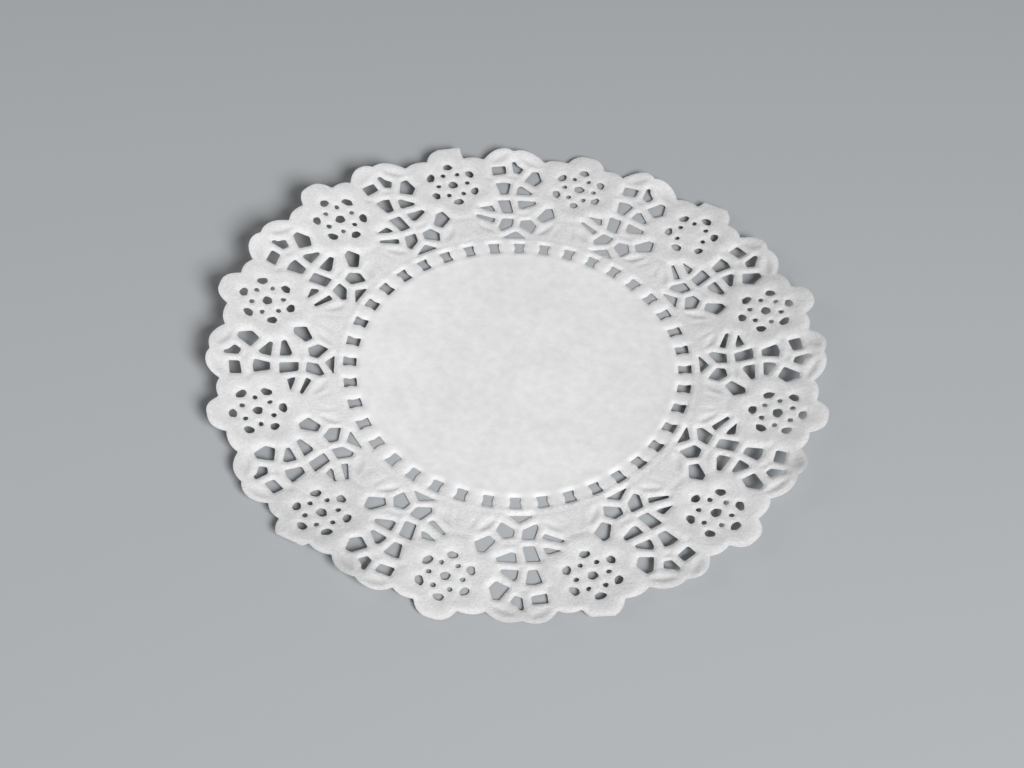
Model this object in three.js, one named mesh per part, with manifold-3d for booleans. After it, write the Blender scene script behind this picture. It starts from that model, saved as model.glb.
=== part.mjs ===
// Round paper doily: one sheet of thin white paper, stamped, embossed and cut in a single die.
// A plain middle is framed by a ring of perforations, and the lace border repeats twelve times: a small
// flower with its half-moon leaf, then a fan of web. The rim is scalloped.
// It lies as it really does: a flat band through the middle rests on the table, the sheet lifts gently
// to the left and to the right of that band, and its lace border is a little uneven.
// Millimetres, +Z up. The origin is the middle of the sheet, on the table. Angles are in degrees.
import * as THREE from 'three';
import { mergeVertices } from 'three/addons/utils/BufferGeometryUtils.js';
import Module from 'manifold-3d';

// Driving dimensions
const DIAMETER = 165;
const SHEET_THICKNESS = 1;
const REPEATS = 12;
const REPEAT_ANGLE = 360 / REPEATS;
const FIRST_FLOWER_ANGLE = 106.6;

// Every reach below is given for a doily of this diameter, and follows DIAMETER in proportion
const CHART_DIAMETER = 165;
const SCALE = DIAMETER / CHART_DIAMETER;

// Step along the rim, from one corner of the solid's outline to the next
const RIM_STEP = 1.5;

// How the sheet lies: the flat band crosses the middle, and each side rises as a parabola to its lift
const BAND_HALF_WIDTH = 13.3;
const SIDE_REACH = DIAMETER / 2;
const LEFT_LIFT = 9.5;
const RIGHT_LIFT = 7;
const LAY_ANGLE = -20.4;
const STRIPS_PER_SIDE = 4;

// Soft lifts of the border on top of that, below zero where it sinks. The lift is that of the rim in the
// direction at, it fades to nothing at LIFT_START, and spread is its half width along the rim.
const LIFT_START = 38;
const BORDER_LIFTS = [
  { place: 'front left', at: -123, lift: 3.6, spread: 16 },
  { place: 'right', at: 16, lift: 2.9, spread: 16 },
  { place: 'back right', at: 44, lift: 1.5, spread: 14 },
  { place: 'back', at: 86, lift: 1.1, spread: 26 },
  { place: 'back left', at: 136, lift: 1.3, spread: 16 },
  { place: 'front right', at: -42, lift: -1.7, spread: 20 },
];

// What the sheet and the die's cut reach past each other, so that each cuts the other cleanly
const CUT_MARGIN = 2;

// Ring of perforations just outside the plain middle: each hole is a little waisted
const RING_HOLES = 40;
const RING_FIRST_ANGLE = 0.6;
const RING_INNER = 42.5;
const RING_OUTER = 46.1;
const RING_CORNER_HALF_ANGLE = 2.0;
const RING_WAIST_HALF_ANGLE = 1.65;

// The rim, as lobes: across is the angle from the flower's axis, clockwise, and reach is the distance of
// the lobe's top from the middle. The rim falls by drop at halfWidth degrees to either side.
const RIM_LOBES = [
  { lobe: 'flower tip', across: 0, reach: 82.5, drop: 3.8, halfWidth: 3.95, power: 3 },
  { lobe: 'left petal', across: -5.8, reach: 78.9, drop: 1.3, halfWidth: 3.1, power: 2.4 },
  { lobe: 'right petal', across: 5.6, reach: 78.9, drop: 1.1, halfWidth: 2.6, power: 2.2 },
  { lobe: 'fan, left', across: 12.3, reach: 81.1, drop: 3.3, halfWidth: 4.1, power: 2.2 },
  { lobe: 'fan, right', across: 16.4, reach: 80.6, drop: 3.0, halfWidth: 4.7, power: 2.1 },
];

// Four flower tips were trimmed by straight cuts. Their corners replace the round tip between the first
// and the last of them. A corner is [across, reach].
const STRAIGHT_TIPS = [
  { flower: 0, corners: [[-1.0, 82.6], [3.6, 82.8], [3.8, 78.8]] },
  { flower: 2, corners: [[-4.1, 78.8], [-3.8, 81.3], [1.2, 82.7]] },
  { flower: 6, corners: [[-1.2, 82.4], [2.8, 81.1]] },
  { flower: 8, corners: [[-3.6, 80.2], [1.5, 82.2]] },
];

// The holes of one fan of web, from the rim inwards. A corner is [across, reach].
const WEB_HOLES = [
  { hole: 'brick', corners: [[9.6, 75.2], [12.7, 75.5], [12.8, 72.8], [9.7, 72.1]] },
  { hole: 'comma', corners: [[14.1, 76.9], [14.9, 77.1], [16.8, 74.5], [15.8, 72.5], [14.4, 73.2]] },
  { hole: 'kite', corners: [[18.7, 74.0], [20.1, 74.0], [21.1, 70.5], [19.6, 68.3], [16.8, 70.2]] },
  { hole: 'cup', corners: [[10.1, 69.1], [12.0, 69.5], [13.8, 69.1], [13.1, 64.8], [11.1, 64.8]] },
  { hole: 'wedge', corners: [[15.4, 67.6], [16.1, 68.2], [19.1, 65.6], [18.9, 64.8], [15.0, 64.8]] },
  { hole: 'door', corners: [[10.1, 62.6], [13.4, 62.6], [14.2, 57.6], [11.1, 57.6]] },
  { hole: 'boat', corners: [[15.3, 62.6], [20.0, 62.6], [20.4, 61.5], [16.8, 59.4], [15.8, 59.7]] },
  { hole: 'sail', corners: [[-7.0, 60.1], [-5.2, 60.4], [-3.9, 57.2], [-7.3, 54.7], [-9.2, 56.4]] },
  { hole: 'upper slit', corners: [[4.8, 60.1], [8.5, 60.7], [9.3, 58.5], [8.1, 58.5]] },
  { hole: 'lower slit', corners: [[3.4, 57.1], [4.0, 57.8], [9.1, 55.6], [8.1, 54.1]] },
  { hole: 'boot', corners: [[10.9, 55.7], [14.4, 55.5], [13.9, 52.6], [10.2, 50.8], [9.4, 52.1]] },
  { hole: 'lump', corners: [[16.4, 54.9], [19.2, 55.5], [21.2, 53.1], [20.0, 50.2], [16.0, 52.6]] },
  { hole: 'tent', corners: [[14.8, 50.8], [18.0, 48.3], [10.4, 48.3]] },
];

// A place in the plan, from its angle across a repeat, its reach and the angle of that repeat's axis
function planPoint(across, reach, axisAngle) {
  const angle = THREE.MathUtils.degToRad(axisAngle - across);
  return new THREE.Vector2(reach * SCALE * Math.cos(angle), reach * SCALE * Math.sin(angle));
}

function repeatAxis(repeat) {
  return FIRST_FLOWER_ANGLE - repeat * REPEAT_ANGLE;
}

// Distance of the rim from the middle: the furthest of the lobes, each a rounded hump
function rimReach(across) {
  const reaches = RIM_LOBES.map(({ across: top, reach, drop, halfWidth, power }) => {
    const offset = THREE.MathUtils.euclideanModulo(across - top + REPEAT_ANGLE / 2, REPEAT_ANGLE)
      - REPEAT_ANGLE / 2;
    return reach - drop * Math.abs(offset / halfWidth) ** power;
  });
  return Math.max(...reaches);
}

// The rim of one repeat, with the corners of its straight-cut tip where it has one
function rimOfRepeat(repeat) {
  const tip = STRAIGHT_TIPS.find(({ flower }) => flower === repeat);
  const points = [];
  for (let across = -REPEAT_ANGLE / 2; across < REPEAT_ANGLE / 2; across += RIM_STEP) {
    const cut = tip && across > tip.corners[0][0] - RIM_STEP / 2
      && across < tip.corners.at(-1)[0] + RIM_STEP / 2;
    if (!cut) {
      points.push([across, rimReach(across)]);
    }
  }
  if (tip) {
    points.push(...tip.corners);
    points.sort((a, b) => a[0] - b[0]);
  }
  return points.map(([across, reach]) => planPoint(across, reach, repeatAxis(repeat)));
}

function webHoles() {
  const holes = [];
  for (let repeat = 0; repeat < REPEATS; repeat += 1) {
    for (const { corners } of WEB_HOLES) {
      holes.push(corners.map(([across, reach]) => planPoint(across, reach, repeatAxis(repeat))));
    }
  }
  return holes;
}

function ringHoles() {
  const middle = (RING_INNER + RING_OUTER) / 2;
  const corners = [
    [-RING_CORNER_HALF_ANGLE, RING_OUTER],
    [RING_CORNER_HALF_ANGLE, RING_OUTER],
    [RING_WAIST_HALF_ANGLE, middle],
    [RING_CORNER_HALF_ANGLE, RING_INNER],
    [-RING_CORNER_HALF_ANGLE, RING_INNER],
    [-RING_WAIST_HALF_ANGLE, middle],
  ];
  return Array.from({ length: RING_HOLES }, (_, hole) => {
    const axis = RING_FIRST_ANGLE + (hole * 360) / RING_HOLES;
    return corners.map(([across, reach]) => planPoint(across, reach, axis));
  });
}

// Height of the sheet's underside, at a distance from the middle line of the flat band
function layHeight(offset) {
  const lift = offset < 0 ? LEFT_LIFT : RIGHT_LIFT;
  const beyond = Math.max(0, Math.abs(offset) - BAND_HALF_WIDTH);
  return lift * (beyond / (SIDE_REACH - BAND_HALF_WIDTH)) ** 2;
}

// The die's cut, as an upright prism: the rim, counter-clockwise, with every hole in it
function dieCut() {
  const rim = Array.from({ length: REPEATS }, (_, repeat) => rimOfRepeat(repeat)).flat();
  const plan = new THREE.Shape(rim.reverse());
  plan.holes = [...webHoles(), ...ringHoles()].map((corners) => new THREE.Path(corners));
  const highest = Math.max(...[-1, 1].map((side) => layHeight(side * (SIDE_REACH + CUT_MARGIN))));
  const depth = highest + SHEET_THICKNESS + 2 * CUT_MARGIN;
  const prism = new THREE.ExtrudeGeometry(plan, { depth, bevelEnabled: false });
  return prism.translate(0, 0, -CUT_MARGIN);
}

// The laid sheet before it is cut out: its section across the band, drawn along the band
function laidSheet() {
  const stripWidth = (SIDE_REACH + CUT_MARGIN - BAND_HALF_WIDTH) / STRIPS_PER_SIDE;
  const lines = Array.from({ length: STRIPS_PER_SIDE + 1 }, (_, line) => line);
  const side = lines.map((line) => BAND_HALF_WIDTH + line * stripWidth);
  const stations = [...side.map((offset) => -offset).reverse(), ...side];
  const underside = stations.map((offset) => new THREE.Vector2(offset, layHeight(offset)));
  const topside = underside.map(({ x, y }) => new THREE.Vector2(x, y + SHEET_THICKNESS)).reverse();
  const length = 2 * (SIDE_REACH + CUT_MARGIN);
  const sheet = new THREE.ExtrudeGeometry(new THREE.Shape([...underside, ...topside]), {
    depth: length,
    bevelEnabled: false,
  });
  return sheet
    .rotateX(Math.PI / 2)
    .translate(0, length / 2, 0)
    .rotateZ(THREE.MathUtils.degToRad(LAY_ANGLE));
}

// Lift of the border at a place in the plan, on top of how the whole sheet lies
function borderLift(x, y) {
  const beyond = Math.max(0, (Math.hypot(x, y) - LIFT_START) / (SIDE_REACH - LIFT_START));
  const direction = THREE.MathUtils.radToDeg(Math.atan2(y, x));
  return BORDER_LIFTS.reduce((sum, { at, lift, spread }) => {
    const turn = THREE.MathUtils.euclideanModulo(direction - at + 180, 360) - 180;
    return sum + lift * beyond ** 2 * Math.exp(-((turn / spread) ** 2));
  }, 0);
}

function liftBorder(geometry) {
  const { position } = geometry.attributes;
  for (let corner = 0; corner < position.count; corner += 1) {
    const lift = borderLift(position.getX(corner), position.getY(corner));
    position.setZ(corner, position.getZ(corner) + lift);
  }
  geometry.computeVertexNormals();
  return geometry;
}

const wasm = await Module();
wasm.setup();

function toSolid(geometry) {
  geometry.deleteAttribute('normal');
  geometry.deleteAttribute('uv');
  const merged = mergeVertices(geometry);
  return new wasm.Manifold(new wasm.Mesh({
    numProp: 3,
    vertProperties: new Float32Array(merged.attributes.position.array),
    triVerts: new Uint32Array(merged.index.array),
  }));
}

function toGeometry(solid) {
  const { vertProperties, triVerts } = solid.getMesh();
  const geometry = new THREE.BufferGeometry();
  geometry.setAttribute('position', new THREE.BufferAttribute(vertProperties, 3));
  geometry.setIndex(new THREE.BufferAttribute(triVerts, 1));
  return geometry;
}

const whitePaper = new THREE.MeshStandardMaterial({ color: 0xeceef0, roughness: 0.85, metalness: 0 });

const cutSheet = toSolid(laidSheet()).intersect(toSolid(dieCut()));
const doily = new THREE.Mesh(liftBorder(toGeometry(cutSheet)), whitePaper);
doily.name = 'doily';

const part = new THREE.Group();
part.add(doily);

export default part;
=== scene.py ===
import bpy
import numpy as np
from mathutils import Euler, Matrix, Vector
from mathutils.geometry import delaunay_2d_cdt


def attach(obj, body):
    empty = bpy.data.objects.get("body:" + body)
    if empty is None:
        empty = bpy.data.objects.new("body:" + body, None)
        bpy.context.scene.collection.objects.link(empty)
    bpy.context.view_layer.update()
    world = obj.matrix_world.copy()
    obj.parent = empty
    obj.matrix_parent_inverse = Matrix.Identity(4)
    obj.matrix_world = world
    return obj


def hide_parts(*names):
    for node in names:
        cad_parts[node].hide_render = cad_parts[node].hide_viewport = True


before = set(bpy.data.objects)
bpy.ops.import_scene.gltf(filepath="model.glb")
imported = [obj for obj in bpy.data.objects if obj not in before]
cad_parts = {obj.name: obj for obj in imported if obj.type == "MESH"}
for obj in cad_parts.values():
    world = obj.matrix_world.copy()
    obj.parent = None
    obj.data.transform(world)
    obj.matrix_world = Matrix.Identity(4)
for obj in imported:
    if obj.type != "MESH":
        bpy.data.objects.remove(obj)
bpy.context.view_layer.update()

# Camera: it stands in front of the table and looks down at the doily at about 50 degrees, from a good
# half metre away, through a short telephoto lens. It is rolled by a hair.
MM = 0.001
SENSOR_WIDTH_MM = 36.0
LENS_MM = 72.76
CAMERA_ELEVATION = np.radians(49.88)
CAMERA_ROLL = np.radians(1.77)
CAMERA_DISTANCE_MM = 544.85
CAMERA_AIM_MM = np.array([-1.29, -5.05, 0.0])

camera_data = bpy.data.cameras.new("camera")
camera_data.lens = LENS_MM
camera_data.sensor_width = SENSOR_WIDTH_MM
camera = bpy.data.objects.new("camera", camera_data)
bpy.context.scene.collection.objects.link(camera)
bpy.context.scene.camera = camera
to_camera = np.array([0.0, -np.cos(CAMERA_ELEVATION), np.sin(CAMERA_ELEVATION)])
tilt = Euler((np.pi / 2 - CAMERA_ELEVATION, 0.0, 0.0)).to_matrix()
camera.rotation_euler = (tilt @ Matrix.Rotation(CAMERA_ROLL, 3, "Z")).to_euler()
camera.location = (CAMERA_AIM_MM + CAMERA_DISTANCE_MM * to_camera) * MM

# Doily: one round sheet of thin white paper. A single die stamps, embosses and cuts it in one stroke, so
# the plain middle, the ring of perforations, the lace border and all that is raised are the same sheet.
# It lies loose on the table: a flat band runs across its middle, and its two sides lift gently.

# Its sizes are in mm, and its angles in degrees where a line doesn't turn them into radians.
DIAMETER = 165.0
PAPER_THICKNESS = 0.11
REPEATS = 12
REPEAT_ANGLE = 360.0 / REPEATS
FIRST_FLOWER_ANGLE = 106.6
rng = np.random.default_rng(12)

# How it lies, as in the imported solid: a band, a parabola on each side of it, and soft lifts of the border,
# each with its direction, height and spread. On top of that the paper swells a little on its right, and
# the rims of the fans curl up, each by its own height, clockwise from the first.
BAND_HALF_WIDTH = 13.3
SIDE_REACH = DIAMETER / 2
LEFT_LIFT = 9.5
RIGHT_LIFT = 7.0
LAY_ANGLE = np.radians(-20.4)
LIFT_START = 38.0
BORDER_LIFTS = {
    "front left": (-123, 3.6, 16),
    "right": (16, 2.9, 16),
    "back right": (44, 1.5, 14),
    "back": (86, 1.1, 26),
    "back left": (136, 1.3, 16),
    "front right": (-42, -1.7, 20),
}
RIGHT_SWELL = {"height": 0.6, "direction": -15, "spread": 25, "reach": 51, "width": 9}
FAN_CURLS = (1.1, 1.7, 0.7, 1.0, 1.4, 0.7, 1.0, 1.3, 0.4, 0.5, 0.5, 0.6)
FAN_MIDDLE_ANGLE = 14.4
CURL_START = 70.0
CURL_END = 81.0
CURL_SPREAD = 5.0


def swell(offset, width):
    """A soft ridge: a bell curve of the offset from its middle line."""
    return np.exp(-((offset / width) ** 2))


def turn_from(direction, middle):
    """The angle from a middle direction, in degrees between -180 and 180."""
    return (direction - middle + 180) % 360 - 180


def lie(x, y):
    """Height of the underside over the table, in mm, for a place in the plan.

    Away from the flat band it is a parabola of the distance to the band. In the border it gains, for each
    lift, the lift times the square of the way out to the rim, times a bell curve of the direction. A curl
    is the same with the way out from the curl's start, and the swell is a bell curve in both directions.
    """
    offset = x * np.cos(LAY_ANGLE) + y * np.sin(LAY_ANGLE)
    side_lift = np.where(offset < 0, LEFT_LIFT, RIGHT_LIFT)
    beyond_band = np.maximum(0, np.abs(offset) - BAND_HALF_WIDTH)
    height = side_lift * (beyond_band / (SIDE_REACH - BAND_HALF_WIDTH)) ** 2
    reach = np.hypot(x, y)
    direction = np.degrees(np.arctan2(y, x))
    way_out = np.maximum(0, reach - LIFT_START) / (SIDE_REACH - LIFT_START)
    for at, lift, spread in BORDER_LIFTS.values():
        height = height + lift * way_out**2 * swell(turn_from(direction, at), spread)
    way_out = np.maximum(0, reach - CURL_START) / (CURL_END - CURL_START)
    for repeat, curl in enumerate(FAN_CURLS):
        turn = turn_from(direction, FIRST_FLOWER_ANGLE - repeat * REPEAT_ANGLE - FAN_MIDDLE_ANGLE)
        height = height + curl * way_out**2 * swell(turn, CURL_SPREAD)
    turn = turn_from(direction, RIGHT_SWELL["direction"])
    bulge = RIGHT_SWELL["height"] * swell(turn, RIGHT_SWELL["spread"])
    return height + bulge * swell(reach - RIGHT_SWELL["reach"], RIGHT_SWELL["width"])


# The die's chart: a spot is (across, reach), the angle from the flower's axis, clockwise, and the distance
# from the middle. One repeat runs from a flower to the next, with a fan of web between them.

# Lobes of the rim: across and reach of the top, then drop, half width and power
RIM_LOBES = {
    "flower tip": (0.0, 82.3, 3.7, 3.95, 3.0),
    "left petal": (-5.8, 78.9, 1.3, 3.1, 2.4),
    "right petal": (5.6, 78.9, 1.1, 2.6, 2.2),
    "fan, left": (12.3, 81.4, 3.6, 4.1, 2.2),
    "fan, right": (16.4, 80.9, 3.3, 4.7, 2.1),
}
RIM_STEP = 0.15
# Flowers whose tips are cut straight, counted clockwise from 0
STRAIGHT_TIPS = {
    0: [(-1.0, 82.6), (3.6, 82.8), (3.8, 78.8)],
    2: [(-4.1, 78.8), (-3.8, 81.3), (1.2, 82.7)],
    6: [(-1.2, 82.4), (2.8, 81.1)],
    8: [(-3.6, 80.2), (1.5, 82.2)],
}
# Holes of the web, by their corners
WEB_HOLES = {
    "brick": [(9.6, 75.2), (12.7, 75.5), (12.8, 72.8), (9.7, 72.1)],
    "comma": [(14.1, 76.9), (14.9, 77.1), (15.4, 75.8), (16.8, 74.5), (15.8, 72.5), (14.4, 73.2)],
    "kite": [(18.7, 74.0), (20.1, 74.0), (21.1, 70.5), (19.6, 68.3), (16.8, 70.2), (17.9, 72.3)],
    "cup": [(10.1, 69.1), (12.0, 69.5), (13.8, 69.1), (13.1, 64.8), (11.1, 64.8)],
    "wedge": [(15.4, 67.6), (16.1, 68.2), (19.1, 65.6), (18.9, 64.8), (15.0, 64.8)],
    "door": [(10.1, 62.6), (13.4, 62.6), (14.2, 57.6), (11.1, 57.6)],
    "boat": [(15.3, 62.6), (20.0, 62.6), (20.4, 61.5), (16.8, 59.4), (15.8, 59.7)],
    "sail": [(-7.0, 60.1), (-5.2, 60.4), (-3.9, 57.2), (-7.3, 54.7), (-9.2, 56.4)],
    "upper slit": [(4.8, 60.1), (8.5, 60.7), (9.3, 58.5), (8.1, 58.5)],
    "lower slit": [(3.4, 57.1), (4.0, 57.8), (9.1, 55.6), (8.1, 54.1)],
    "boot": [(10.9, 55.7), (14.4, 55.5), (13.9, 52.6), (10.2, 50.8), (9.4, 52.1)],
    "lump": [(16.4, 54.9), (19.2, 55.5), (21.2, 53.1), (20.0, 50.2), (16.0, 52.6)],
    "tent": [(14.8, 50.8), (18.0, 48.3), (10.4, 48.3)],
}
# How far a corner's rounding reaches along its sides, its largest share of a side, and its points
WEB_CORNER = 0.4
LONGEST_CUT = 0.45
CORNER_POINTS = 7
# How far the corners stray from the chart
WEB_WANDER = 0.06

# Holes of a flower: how many, how far from its middle, the first one's angle from the flower's axis,
# clockwise, and their half widths outwards and sideways. Two of the third flower's were never punched.
FLOWER_REACH = 69.25
FLOWER_HOLES = {
    "eye": (1, 0.0, 0.0, 1.28, 1.36),
    "small": (6, 4.2, 30.0, 0.74, 0.68),
    "oval": (6, 6.5, 0.0, 1.08, 1.42),
}
FLOWER_WANDER = 0.06
UNPUNCHED = {(2, "eye", 0), (2, "small", 2)}
# Small waves that make a punched oval uneven: how many go round it, and their height as a share
OVAL_WAVES = ((3, 0.05), (5, 0.04))
OVAL_POINTS = 48

# Ring of perforations, each a little waisted
RING_HOLES = 40
RING_FIRST_ANGLE = 0.6
RING_INNER = 42.55
RING_OUTER = 46.05
RING_CORNER_HALF_ANGLE = 2.05
RING_WAIST_HALF_ANGLE = 1.5
RING_WANDER = 0.05
RING_CORNER = 0.35

# Every cut is walked in steps of this size, and a small hole in no fewer steps than these.
EDGE_STEP = 0.5
FEWEST_STEPS = 10


def on_chart(spots):
    """Chart spots as sideways and outward places, in mm: reach times the sine and the cosine of across."""
    across, reach = np.asarray(spots, float).T
    angle = np.radians(across)
    return np.stack([reach * np.sin(angle), reach * np.cos(angle)], axis=-1)


def turned_to(places, axis):
    """Sideways and outward places turned so that outward points along the axis, given in degrees.

    Each is its sideways part times the sideways arrow, plus its outward part times the outward arrow.
    """
    angle = np.radians(axis)
    sideways = np.array([np.sin(angle), -np.cos(angle)])
    outward = np.array([np.cos(angle), np.sin(angle)])
    return places[:, :1] * sideways + places[:, 1:] * outward


def rounded(corners, cut):
    """An outline with soft corners: each corner is a quadratic curve between two spots on its sides.

    The spots lie cut from the corner, or the largest share of the side on a shorter side.
    """
    share = np.linspace(0, 1, CORNER_POINTS)[:, None]
    ends = []
    for neighbour in (np.roll(corners, 1, axis=0), np.roll(corners, -1, axis=0)):
        side = neighbour - corners
        length = np.linalg.norm(side, axis=1, keepdims=True)
        ends.append(corners + side * np.minimum(cut / length, LONGEST_CUT))
    before, after = (end[:, None] for end in ends)
    middle = corners[:, None]
    curve = (1 - share) ** 2 * before + 2 * share * (1 - share) * middle + share**2 * after
    return curve.reshape(-1, 2)


def oval(middle, half_sideways, half_outward, turn):
    """A punched oval, a little uneven: its middle plus the half widths times sine and cosine.

    Both are made longer or shorter by the small waves that go round it, each from a start of its own, in
    radians.
    """
    angle = np.linspace(0, 2 * np.pi, OVAL_POINTS, endpoint=False)
    uneven = 1
    for count, height in OVAL_WAVES:
        uneven = uneven + height * np.cos(count * angle + rng.uniform(0, 6))
    sideways = half_sideways * uneven * np.sin(angle)
    outward = half_outward * uneven * np.cos(angle)
    cosine, sine = np.cos(turn), np.sin(turn)
    places = [sideways * cosine + outward * sine, outward * cosine - sideways * sine]
    return np.stack(places, axis=-1) + middle


def walked(outline, step):
    """A closed outline in equal steps, anticlockwise, so that round a hole the paper is on the right.

    It is turned round where its area, half the sum of x times the next y less y times the next x, is
    negative.
    """
    x, y = outline.T
    twice_area = (x * np.roll(y, -1) - y * np.roll(x, -1)).sum()
    outline = outline if twice_area > 0 else outline[::-1]
    closed = np.vstack([outline, outline[:1]])
    along = np.append(0, np.cumsum(np.linalg.norm(np.diff(closed, axis=0), axis=1)))
    stations = np.linspace(0, along[-1], max(FEWEST_STEPS, round(along[-1] / step)), endpoint=False)
    return np.stack([np.interp(stations, along, closed[:, i]) for i in (0, 1)], axis=-1)


def rim_reach(across):
    """Distance of the rim from the middle: the furthest of the lobes.

    A lobe falls from its reach by drop times the power of the offset over its half width.
    """
    reaches = []
    for top, reach, drop, half_width, power in RIM_LOBES.values():
        offset = (across - top + REPEAT_ANGLE / 2) % REPEAT_ANGLE - REPEAT_ANGLE / 2
        reaches.append(reach - drop * np.abs(offset / half_width) ** power)
    return np.max(reaches, axis=0)


def rim_of_repeat(repeat):
    """The rim of one repeat on the chart, with the corners of its straight-cut tip where it has one."""
    across = np.arange(-REPEAT_ANGLE / 2, REPEAT_ANGLE / 2, RIM_STEP)
    spots = np.stack([across, rim_reach(across)], axis=-1)
    if repeat in STRAIGHT_TIPS:
        corners = np.array(STRAIGHT_TIPS[repeat])
        kept = (across < corners[0, 0] - 2 * RIM_STEP) | (across > corners[-1, 0] + 2 * RIM_STEP)
        spots = np.vstack([spots[kept], corners])
        spots = spots[np.argsort(spots[:, 0])]
    return spots


axes = FIRST_FLOWER_ANGLE - REPEAT_ANGLE * np.arange(REPEATS)
rim_walk = [turned_to(on_chart(rim_of_repeat(k)), axes[k]) for k in range(REPEATS)]
rim = walked(np.vstack(rim_walk), EDGE_STEP)[::-1]

web_edges = []
flower_edges = []
unpunched = []
for repeat, axis in enumerate(axes):
    for corners in WEB_HOLES.values():
        places = on_chart(corners)
        places = places + rng.normal(0, WEB_WANDER, places.shape)
        web_edges.append(walked(turned_to(rounded(places, WEB_CORNER), axis), EDGE_STEP))
    for hole, (count, away_from_middle, first, half_outward, half_sideways) in FLOWER_HOLES.items():
        for number in range(count):
            direction = np.radians(first + number * 360 / count)
            middle = away_from_middle * np.array([np.sin(direction), np.cos(direction)])
            middle = middle + [0, FLOWER_REACH] + rng.normal(0, FLOWER_WANDER, 2)
            growth = rng.normal(1, FLOWER_WANDER)
            outline = oval(middle, half_sideways * growth, half_outward, direction)
            if (repeat, hole, number) in UNPUNCHED:
                unpunched.append(turned_to(outline, axis).mean(axis=0))
            else:
                flower_edges.append(walked(turned_to(outline, axis), EDGE_STEP))

ring_corners = [
    (-RING_CORNER_HALF_ANGLE, RING_OUTER),
    (RING_CORNER_HALF_ANGLE, RING_OUTER),
    (RING_WAIST_HALF_ANGLE, (RING_INNER + RING_OUTER) / 2),
    (RING_CORNER_HALF_ANGLE, RING_INNER),
    (-RING_CORNER_HALF_ANGLE, RING_INNER),
    (-RING_WAIST_HALF_ANGLE, (RING_INNER + RING_OUTER) / 2),
]
ring_edges = []
for axis in RING_FIRST_ANGLE + np.arange(RING_HOLES) * 360 / RING_HOLES:
    places = on_chart(ring_corners)
    places = places + rng.normal(0, RING_WANDER, places.shape)
    ring_edges.append(walked(turned_to(rounded(places, RING_CORNER), axis), EDGE_STEP))

# The net of points: the cut edges, three rows beside every edge, and an even net in what is left, which is
# finer in the border, where the embossing is, than in the plain middle. A row is its inset and the room
# that its points keep, and it is left out where another edge lies closer than most of the inset.
ROWS_BESIDE_EDGES = ((0.28, 0.46), (0.6, 0.5), (0.95, 0.58))
OWN_EDGE_SHARE = 0.93
BORDER_NET = 0.7
MIDDLE_NET = 1.5
MIDDLE_NET_REACH = 40.5
NET_ROOM = 1.25
RIM_PIECE_SIDES = 60


def edge_distance(points, outlines, reach):
    """Distance of each point from the nearest outline, and reach where it is further than that.

    For a side of an outline it is the distance to the foot of the perpendicular, held between its ends.
    """
    nearest = np.full(len(points), reach)
    for outline in outlines:
        inside_box = (points > outline.min(axis=0) - reach) & (points < outline.max(axis=0) + reach)
        near = np.flatnonzero(inside_box.all(axis=1))
        side = np.roll(outline, -1, axis=0) - outline
        offset = points[near, None] - outline
        along = np.clip((offset * side).sum(axis=-1) / (side**2).sum(axis=-1), 0, 1)
        gap = np.linalg.norm(offset - along[..., None] * side, axis=-1)
        nearest[near] = np.minimum(nearest[near], gap.min(axis=1, initial=reach))
    return nearest


def in_paper(points):
    """True for each point that lies within the rim and in no hole.

    The rim is compared by its distance in the point's direction. A point is in a hole where a line from it
    crosses the outline an odd number of times.
    """
    direction = np.arctan2(rim[:, 1], rim[:, 0])
    order = np.argsort(direction)
    rim_distance = np.hypot(*rim[order].T)
    own_direction = np.arctan2(points[:, 1], points[:, 0])
    reach = np.interp(own_direction, direction[order], rim_distance, period=2 * np.pi)
    within = np.hypot(*points.T) < reach
    for outline in [*web_edges, *ring_edges, *flower_edges]:
        inside_box = (points > outline.min(axis=0)) & (points < outline.max(axis=0))
        near = np.flatnonzero(inside_box.all(axis=1))
        x, y = points[near].T[:, :, None]
        (x0, y0), (x1, y1) = outline.T, np.roll(outline, -1, axis=0).T
        ahead = x < x0 + (x1 - x0) * (y - y0) / (y1 - y0)
        crossings = (((y0 > y) != (y1 > y)) & ahead).sum(axis=1)
        within[near[crossings % 2 == 1]] = False
    return within


def rim_pieces():
    """The rim as short there-and-back outlines, so that a point is only measured against those near it."""
    starts = np.arange(0, len(rim), RIM_PIECE_SIDES)
    walks = [rim[np.arange(start, start + RIM_PIECE_SIDES + 1) % len(rim)] for start in starts]
    return [np.vstack([walk, walk[-2:0:-1]]) for walk in walks]


def beside(outline, inset):
    """The outline moved into the paper by inset, along the normals of its walk."""
    walk = np.roll(outline, -1, axis=0) - np.roll(outline, 1, axis=0)
    normal = np.stack([walk[:, 1], -walk[:, 0]], axis=-1)
    return outline + inset * normal / np.linalg.norm(normal, axis=1, keepdims=True)


def even_net(pitch, reach):
    """Points in rows, every second row shifted by half a pitch, inside a circle of that reach.

    The rows lie a pitch times the square root of three quarters apart, so that the triangles are even.
    """
    row_gap = pitch * np.sqrt(0.75)
    count = int(reach / row_gap) + 1
    row, column = np.mgrid[-count:count + 1, -count:count + 1]
    x = pitch * (column + 0.5 * (row % 2))
    y = row_gap * row
    inside = np.hypot(x, y) < reach
    return np.stack([x[inside], y[inside]], axis=-1)


def thinned(points, room):
    """One point for each square of that size."""
    squares = np.floor(points / room).astype(int)
    return points[np.sort(np.unique(squares, axis=0, return_index=True)[1])]


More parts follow.
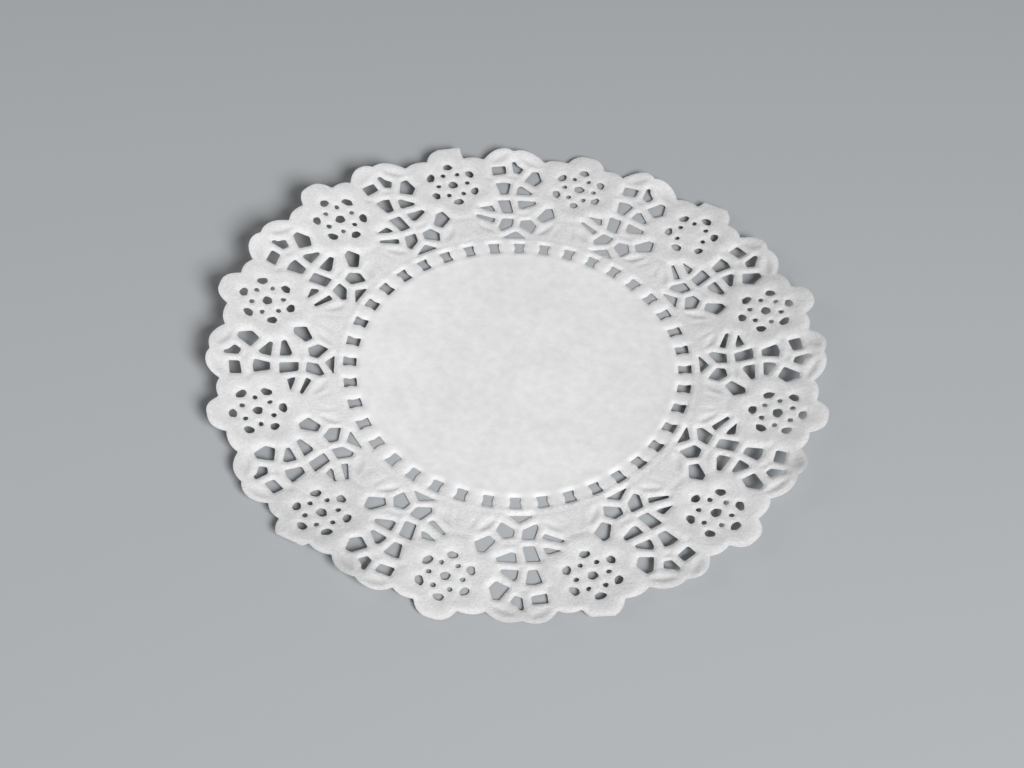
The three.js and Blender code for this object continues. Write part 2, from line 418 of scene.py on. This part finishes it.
all_edges = [rim, *web_edges, *ring_edges, *flower_edges]
measured_edges = [*rim_pieces(), *web_edges, *ring_edges, *flower_edges]
net = [np.vstack(all_edges)]
for inset, room in ROWS_BESIDE_EDGES:
    row = np.vstack([beside(outline, inset) for outline in all_edges])
    row = row[edge_distance(row, measured_edges, NET_ROOM) > OWN_EDGE_SHARE * inset]
    net.append(thinned(row, room))
border_net = even_net(BORDER_NET, SIDE_REACH)
border_net = border_net[np.hypot(*border_net.T) > MIDDLE_NET_REACH]
border_net = border_net[in_paper(border_net)]
net.append(border_net[edge_distance(border_net, measured_edges, 2 * NET_ROOM) > NET_ROOM])
net.append(even_net(MIDDLE_NET, MIDDLE_NET_REACH - 0.6 * MIDDLE_NET))
net = np.vstack(net)

firsts = np.cumsum([0] + [len(outline) for outline in all_edges])
cut_sides = []
for first, outline in zip(firsts, all_edges):
    corner = first + np.arange(len(outline))
    cut_sides.append(np.stack([corner, first + (corner - first + 1) % len(outline)], axis=-1))
cut_sides = np.vstack(cut_sides)

# The net is filled with triangles as a whole, and those that lie in the paper are kept.
WHOLE = 0
SMALLEST_GAP = 1e-5
meshed = delaunay_2d_cdt(net.tolist(), cut_sides.tolist(), [], WHOLE, SMALLEST_GAP, False)
plan = np.array([tuple(point) for point in meshed[0]])
triangles = np.array(meshed[2])
triangles = triangles[in_paper(plan[triangles].mean(axis=1))]
used, triangles = np.unique(triangles, return_inverse=True)
triangles = triangles.reshape(-1, 3)
plan = plan[used]

# The embossing, as a height over the flat paper. The paper is bent down along every cut, so the bars
# between the holes are round cords, and each wide place is a low pillow. Past the reach nothing is bent.
BEND_REACH = 3.0
BEND_START = 0.25
BEND_WIDTH = 0.86
WEB_BEND = 0.38
RING_BEND = 0.36
FLOWER_BEND = 0.22
RIM_BEND = 0.15
# Beads and grooves that run round the whole doily: reach, width and height
ROUND_LINES = {
    "outer bead": (46.9, 0.4, 0.08),
    "outer groove": (48.1, 0.5, -0.05),
    "inner bead": (41.4, 0.6, 0.06),
}
# Leaf-shaped dents: the middle's across and reach, half length, half width, turn from sideways, and depth
DENTS = {
    "half-moon, left": (-6.2, 51.8, 3.6, 1.4, 50, 0.5),
    "half-moon, inner left": (-2.5, 51.8, 3.2, 0.9, 73, 0.18),
    "half-moon, inner right": (2.4, 51.9, 3.2, 0.9, 107, 0.18),
    "half-moon, right": (5.6, 52.3, 3.4, 1.3, -41, 0.42),
    "neck": (0.0, 56.2, 3.8, 0.7, 0, 0.16),
    "fan rim, left": (11.2, 78.0, 3.6, 2.0, 32, 0.36),
    "fan rim, right": (18.1, 77.0, 4.0, 1.3, -28, 0.42),
    "fan, top": (14.2, 71.4, 1.8, 1.0, -15, 0.3),
    "fan, side": (17.2, 57.2, 2.8, 1.0, 8, 0.24),
    "notch": (9.1, 70.6, 1.6, 1.1, 0, 0.24),
}
# Spread of a dent's bell curve as a share of its half width, and the taper left at its points
DENT_SPREAD = 0.7
LEAST_TAPER = 0.01
# Raised petals round the flower's holes. A notch is its angle from the flower's axis, on both sides of it.
PETAL_NOTCHES = (22, 82, 143)
NOTCH_REACH = 8.8
PETAL_BULGE = 2.1
PETAL_WIDTH = 1.8
PETAL_SWELL = 0.2
NOTCH_SHARE = 0.7
BULGE_SHARE = 0.3
TIP_DROP = 0.55
TIP_SPREAD = 18
SPOT_SWELL = 0.14
SPOT_WIDTH = 0.7
STIPPLE = 0.013
# Cockles, the waves of paper that has been damp: length, direction, phase and height
COCKLES = ((31, 20, 0.4, 0.05), (22, 75, 1.9, 0.03), (17, 130, 4.0, 0.02), (12, 160, 2.2, 0.013))
# Tone of the paper: darker in the lace, with painted shade towards the rim and in the dents and a painted
# highlight on the cords. A cord highlight is a line at some distance from the cut, with a width.
LACE_SHADE = 0.935
RIM_PAINTED_SHADE = -0.07
CORD_PAINTED_HIGHLIGHT = 0.055
DENT_PAINTED_SHADE = -0.1
CORD_HIGHLIGHT_LINES = {"web": (1.1, 0.6), "ring": (0.8, 0.5), "flower": (0.7, 0.45), "rim": (0.9, 0.5)}


def bent(gap):
    """How much of the bend is left: a bell curve of the gap to the cut, from a start outside it."""
    return swell(gap + BEND_START, BEND_WIDTH)


def seen_from(across, reach):
    """Each point as it is seen from the nearest of twelve like spots: how far sideways and outward.

    They are its distance from the middle times the sine and the cosine of the angle between them, the
    second less the reach of the spot.
    """
    distance = np.hypot(*plan.T)
    clockwise = FIRST_FLOWER_ANGLE - np.degrees(np.arctan2(plan[:, 1], plan[:, 0]))
    offset = (clockwise - across + REPEAT_ANGLE / 2) % REPEAT_ANGLE - REPEAT_ANGLE / 2
    angle = np.radians(offset)
    return distance * np.sin(angle), distance * np.cos(angle) - reach


def dent(across, reach, half_length, half_width, turn, depth):
    """A pointed hollow: a bell curve across it, times a taper that its width has too.

    The taper is one less the square of the way along, which is 0 in the middle and 1 at either point.
    """
    sideways, outward = seen_from(across, reach)
    angle = np.radians(turn)
    along = sideways * np.cos(angle) + outward * np.sin(angle)
    aside = outward * np.cos(angle) - sideways * np.sin(angle)
    taper = 1 - (along / half_length) ** 2
    width = DENT_SPREAD * half_width * np.maximum(LEAST_TAPER, taper)
    return depth * np.maximum(0, taper) * swell(aside, width)


def petals():
    """Raised petals round a flower: a bell curve of the distance from their scalloped crest.

    The crest bulges as the sine of the way from one notch to the next, and gains height with the bulge.
    The petal at the tip is lower than the rest.
    """
    sideways, outward = seen_from(0, FLOWER_REACH)
    bearing = np.degrees(np.abs(np.arctan2(sideways, outward)))
    notches = np.array([-PETAL_NOTCHES[0], *PETAL_NOTCHES, 360 - PETAL_NOTCHES[-1]])
    bulge = np.abs(np.sin(np.pi * np.interp(bearing, notches, np.arange(len(notches)))))
    crest = NOTCH_REACH + PETAL_BULGE * bulge
    height = PETAL_SWELL * (NOTCH_SHARE + BULGE_SHARE * bulge)
    height = height * (1 - TIP_DROP * swell(bearing, TIP_SPREAD))
    return height * swell(np.hypot(sideways, outward) - crest, PETAL_WIDTH)


# The lace starts at the inner ends of the perforations and is all there at their outer ends.
distance = np.hypot(*plan.T)
lace = np.clip((distance - RING_INNER) / (RING_OUTER - RING_INNER), 0, 1)
rim_gap = edge_distance(plan, rim_pieces(), BEND_REACH)
relief = petals() - RIM_BEND * bent(rim_gap)
# Mask of the painted highlight on the cords: a band at some gap from the rim and from every cut.
cord_highlight = swell(rim_gap - CORD_HIGHLIGHT_LINES["rim"][0], CORD_HIGHLIGHT_LINES["rim"][1])
for name, outlines, depth in [
    ("web", web_edges, WEB_BEND),
    ("ring", ring_edges, RING_BEND),
    ("flower", flower_edges, FLOWER_BEND),
]:
    relief -= depth * sum(bent(edge_distance(plan, [outline], BEND_REACH)) for outline in outlines)
    gap, width = CORD_HIGHLIGHT_LINES[name]
    cord_highlight = np.maximum(cord_highlight, swell(edge_distance(plan, outlines, BEND_REACH) - gap, width))
dents = sum(dent(*shape) for shape in DENTS.values())
relief -= dents
for reach, width, height in ROUND_LINES.values():
    relief += height * swell(distance - reach, width)
for spot in unpunched:
    relief += SPOT_SWELL * swell(np.hypot(*(plan - spot).T), SPOT_WIDTH)
way_out = (distance - RING_OUTER) / (SIDE_REACH - RING_OUTER)
# The colour factor of the paper: darker in the lace, with painted shade towards the rim and in the dents,
# and a painted highlight on the cords.
tone_and_painted_light = 1 + lace * (LACE_SHADE - 1 + RIM_PAINTED_SHADE * way_out + CORD_PAINTED_HIGHLIGHT * cord_highlight + DENT_PAINTED_SHADE * dents)

relief += STIPPLE * lace * rng.standard_normal(len(plan))
for length, direction, phase, height in COCKLES:
    turn = np.radians(direction)
    along = plan[:, 0] * np.cos(turn) + plan[:, 1] * np.sin(turn)
    relief += height * (1 + np.sin(2 * np.pi * along / length + phase))
# The bent edges touch the table, so the flat paper lies one bend over it.
relief += WEB_BEND

# The sheet: its top, its underside a paper's thickness lower, and the walls of every cut between them. A
# side lies on a cut where no other triangle has it the other way round.
SHARP_ANGLE = 60
base = lie(*plan.T)
top = np.column_stack([plan, base + relief + PAPER_THICKNESS]) * MM
under = top - [0, 0, PAPER_THICKNESS * MM]
sides = triangles[:, [[0, 1], [1, 2], [2, 0]]].reshape(-1, 2)
key = sides[:, 0] * len(plan) + sides[:, 1]
opposite = sides[:, 1] * len(plan) + sides[:, 0]
start, end = sides[~np.isin(key, opposite)].T
down = len(plan)
faces = np.vstack([
    triangles,
    triangles[:, ::-1] + down,
    np.stack([end, start, start + down], axis=-1),
    np.stack([end, start + down, end + down], axis=-1),
])

sheet = bpy.data.meshes.new("doily_sheet")
sheet.vertices.add(2 * down)
sheet.vertices.foreach_set("co", np.vstack([top, under]).ravel())
sheet.loops.add(faces.size)
sheet.loops.foreach_set("vertex_index", faces.ravel())
sheet.polygons.add(len(faces))
sheet.polygons.foreach_set("loop_start", np.arange(0, faces.size, 3))
sheet.update(calc_edges=True)
sheet.shade_smooth()
sheet.set_sharp_from_angle(angle=np.radians(SHARP_ANGLE))
for name, value in (("tone_and_painted_light", tone_and_painted_light), ("lace", lace)):
    attribute = sheet.attributes.new(name, "FLOAT", "POINT")
    attribute.data.foreach_set("value", np.tile(value, 2))
doily = bpy.data.objects.new("doily_paper", sheet)
bpy.context.scene.collection.objects.link(doily)

# White paper: matt, and a little cloudy and mottled as paper is. The lace is stippled by the die, with a
# painted highlight on its cords and painted shade in its dents and towards the rim, and the plain middle
# shows only the fine grain of the felt that the paper was dried on.
PAPER_ROUGHNESS = 0.82
PAPER_SPECULAR = 0.25
paper = bpy.data.materials.new("white_paper")
paper.use_nodes = True
nodes = paper.node_tree.nodes
links = paper.node_tree.links
finish = nodes["Principled BSDF"]
finish.inputs["Roughness"].default_value = PAPER_ROUGHNESS
finish.inputs["Specular IOR Level"].default_value = PAPER_SPECULAR
place = nodes.new("ShaderNodeTexCoord")


def mask(name):
    """An attribute of the sheet, between 0 and 1."""
    attribute = nodes.new("ShaderNodeAttribute")
    attribute.attribute_name = name
    return attribute.outputs["Fac"]


def noise(size_mm, detail, roughness=0.5):
    """Cloudy noise on the place in the part, with clouds of about that size: the scale is one over it."""
    texture = nodes.new("ShaderNodeTexNoise")
    texture.inputs["Scale"].default_value = 1 / (size_mm * MM)
    texture.inputs["Detail"].default_value = detail
    texture.inputs["Roughness"].default_value = roughness
    links.new(place.outputs["Object"], texture.inputs["Vector"])
    return texture.outputs["Fac"]


def grey(value):
    """A neutral colour."""
    return (value, value, value, 1)


def blend(share, first, second, way="MIX"):
    """A colour between two others, by the share of the second, or the first times the second."""
    mix = nodes.new("ShaderNodeMix")
    mix.data_type = "RGBA"
    mix.blend_type = way
    for name, source in (("Factor", share), ("A", first), ("B", second)):
        socket = mix.inputs[name]
        if isinstance(source, (tuple, float)):
            socket.default_value = source
        else:
            links.new(source, socket)
    return mix.outputs["Result"]


def masked(height, part):
    """A height times a mask."""
    product = nodes.new("ShaderNodeMath")
    product.operation = "MULTIPLY"
    links.new(height, product.inputs[0])
    links.new(part, product.inputs[1])
    return product.outputs["Value"]


def bump(height, depth_mm, below=None):
    """Fine relief: a height between 0 and 1 times its depth, on top of the relief below."""
    texture = nodes.new("ShaderNodeBump")
    texture.inputs["Distance"].default_value = depth_mm * MM
    links.new(height, texture.inputs["Height"])
    if below is not None:
        links.new(below, texture.inputs["Normal"])
    return texture.outputs["Normal"]


clouds = blend(noise(size_mm=12, detail=2), grey(0.765), grey(0.855))
mottle = blend(noise(size_mm=2.6, detail=4, roughness=0.6), grey(0.86), grey(1.14))
stippled = blend(noise(size_mm=0.8, detail=3), grey(0.84), grey(1.16))
paper_colour = blend(1.0, clouds, blend(mask("lace"), mottle, stippled), "MULTIPLY")
# The paper's colour is multiplied by the sheet's tone with its painted shade and painted highlights.
links.new(blend(1.0, paper_colour, mask("tone_and_painted_light"), "MULTIPLY"), finish.inputs["Base Color"])
felt_grain = bump(noise(size_mm=0.8, detail=4, roughness=0.6), depth_mm=0.04)
stipple = masked(noise(size_mm=0.55, detail=3, roughness=0.6), mask("lace"))
links.new(bump(stipple, depth_mm=0.14, below=felt_grain), finish.inputs["Normal"])
sheet.materials.append(paper)

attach(doily, "root")
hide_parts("doily")

# Floor: a plain, matt table top in a pale and cool grey, so that the white paper and its holes read
# against it. It is wide enough to fill the picture, and its size is in metres.
FLOOR_SIZE = 6.0
COOL_GREY = (0.44, 0.455, 0.47, 1)
FLOOR_ROUGHNESS = 0.9
floor_mesh = bpy.data.meshes.new("floor")
half = FLOOR_SIZE / 2
floor_corners = [(-half, -half, 0), (half, -half, 0), (half, half, 0), (-half, half, 0)]
floor_mesh.from_pydata(floor_corners, [], [(0, 1, 2, 3)])
floor = bpy.data.objects.new("floor", floor_mesh)
bpy.context.scene.collection.objects.link(floor)
matt_grey = bpy.data.materials.new("matt_grey")
matt_grey.use_nodes = True
floor_finish = matt_grey.node_tree.nodes["Principled BSDF"]
floor_finish.inputs["Base Color"].default_value = COOL_GREY
floor_finish.inputs["Roughness"].default_value = FLOOR_ROUGHNESS
floor_mesh.materials.append(matt_grey)

# Light: a soft box in front, a little to the right, whose slanting light shows the embossing, a weaker and
# nearer one on the left, and a white surround that softens the shadows. A box has its azimuth, elevation,
# metres away, size in metres, watts, and the spread of its light in degrees.
LIGHTS = {
    "key_softbox": (-62, 37, 1.7, 0.59, 11.5, 105),
    "fill_softbox": (180, 40, 0.6, 0.35, 0.4, 180),
}
SURROUND = (1, 1, 1, 1)
SURROUND_STRENGTH = 0.14

world = bpy.data.worlds.new("surround")
world.use_nodes = True
world.node_tree.nodes["Background"].inputs["Color"].default_value = SURROUND
world.node_tree.nodes["Background"].inputs["Strength"].default_value = SURROUND_STRENGTH
bpy.context.scene.world = world
for name, (azimuth, elevation, metres_away, size, watts, spread) in LIGHTS.items():
    lamp = bpy.data.lights.new(name, "AREA")
    lamp.size = size
    lamp.energy = watts
    lamp.spread = np.radians(spread)
    softbox = bpy.data.objects.new(name, lamp)
    turn = Euler((0, np.radians(90 - elevation), np.radians(azimuth))).to_matrix()
    softbox.location = turn @ Vector((0, 0, metres_away))
    softbox.rotation_euler = turn.to_euler()
    bpy.context.scene.collection.objects.link(softbox)
bpy.context.scene.view_settings.view_transform = "Standard"
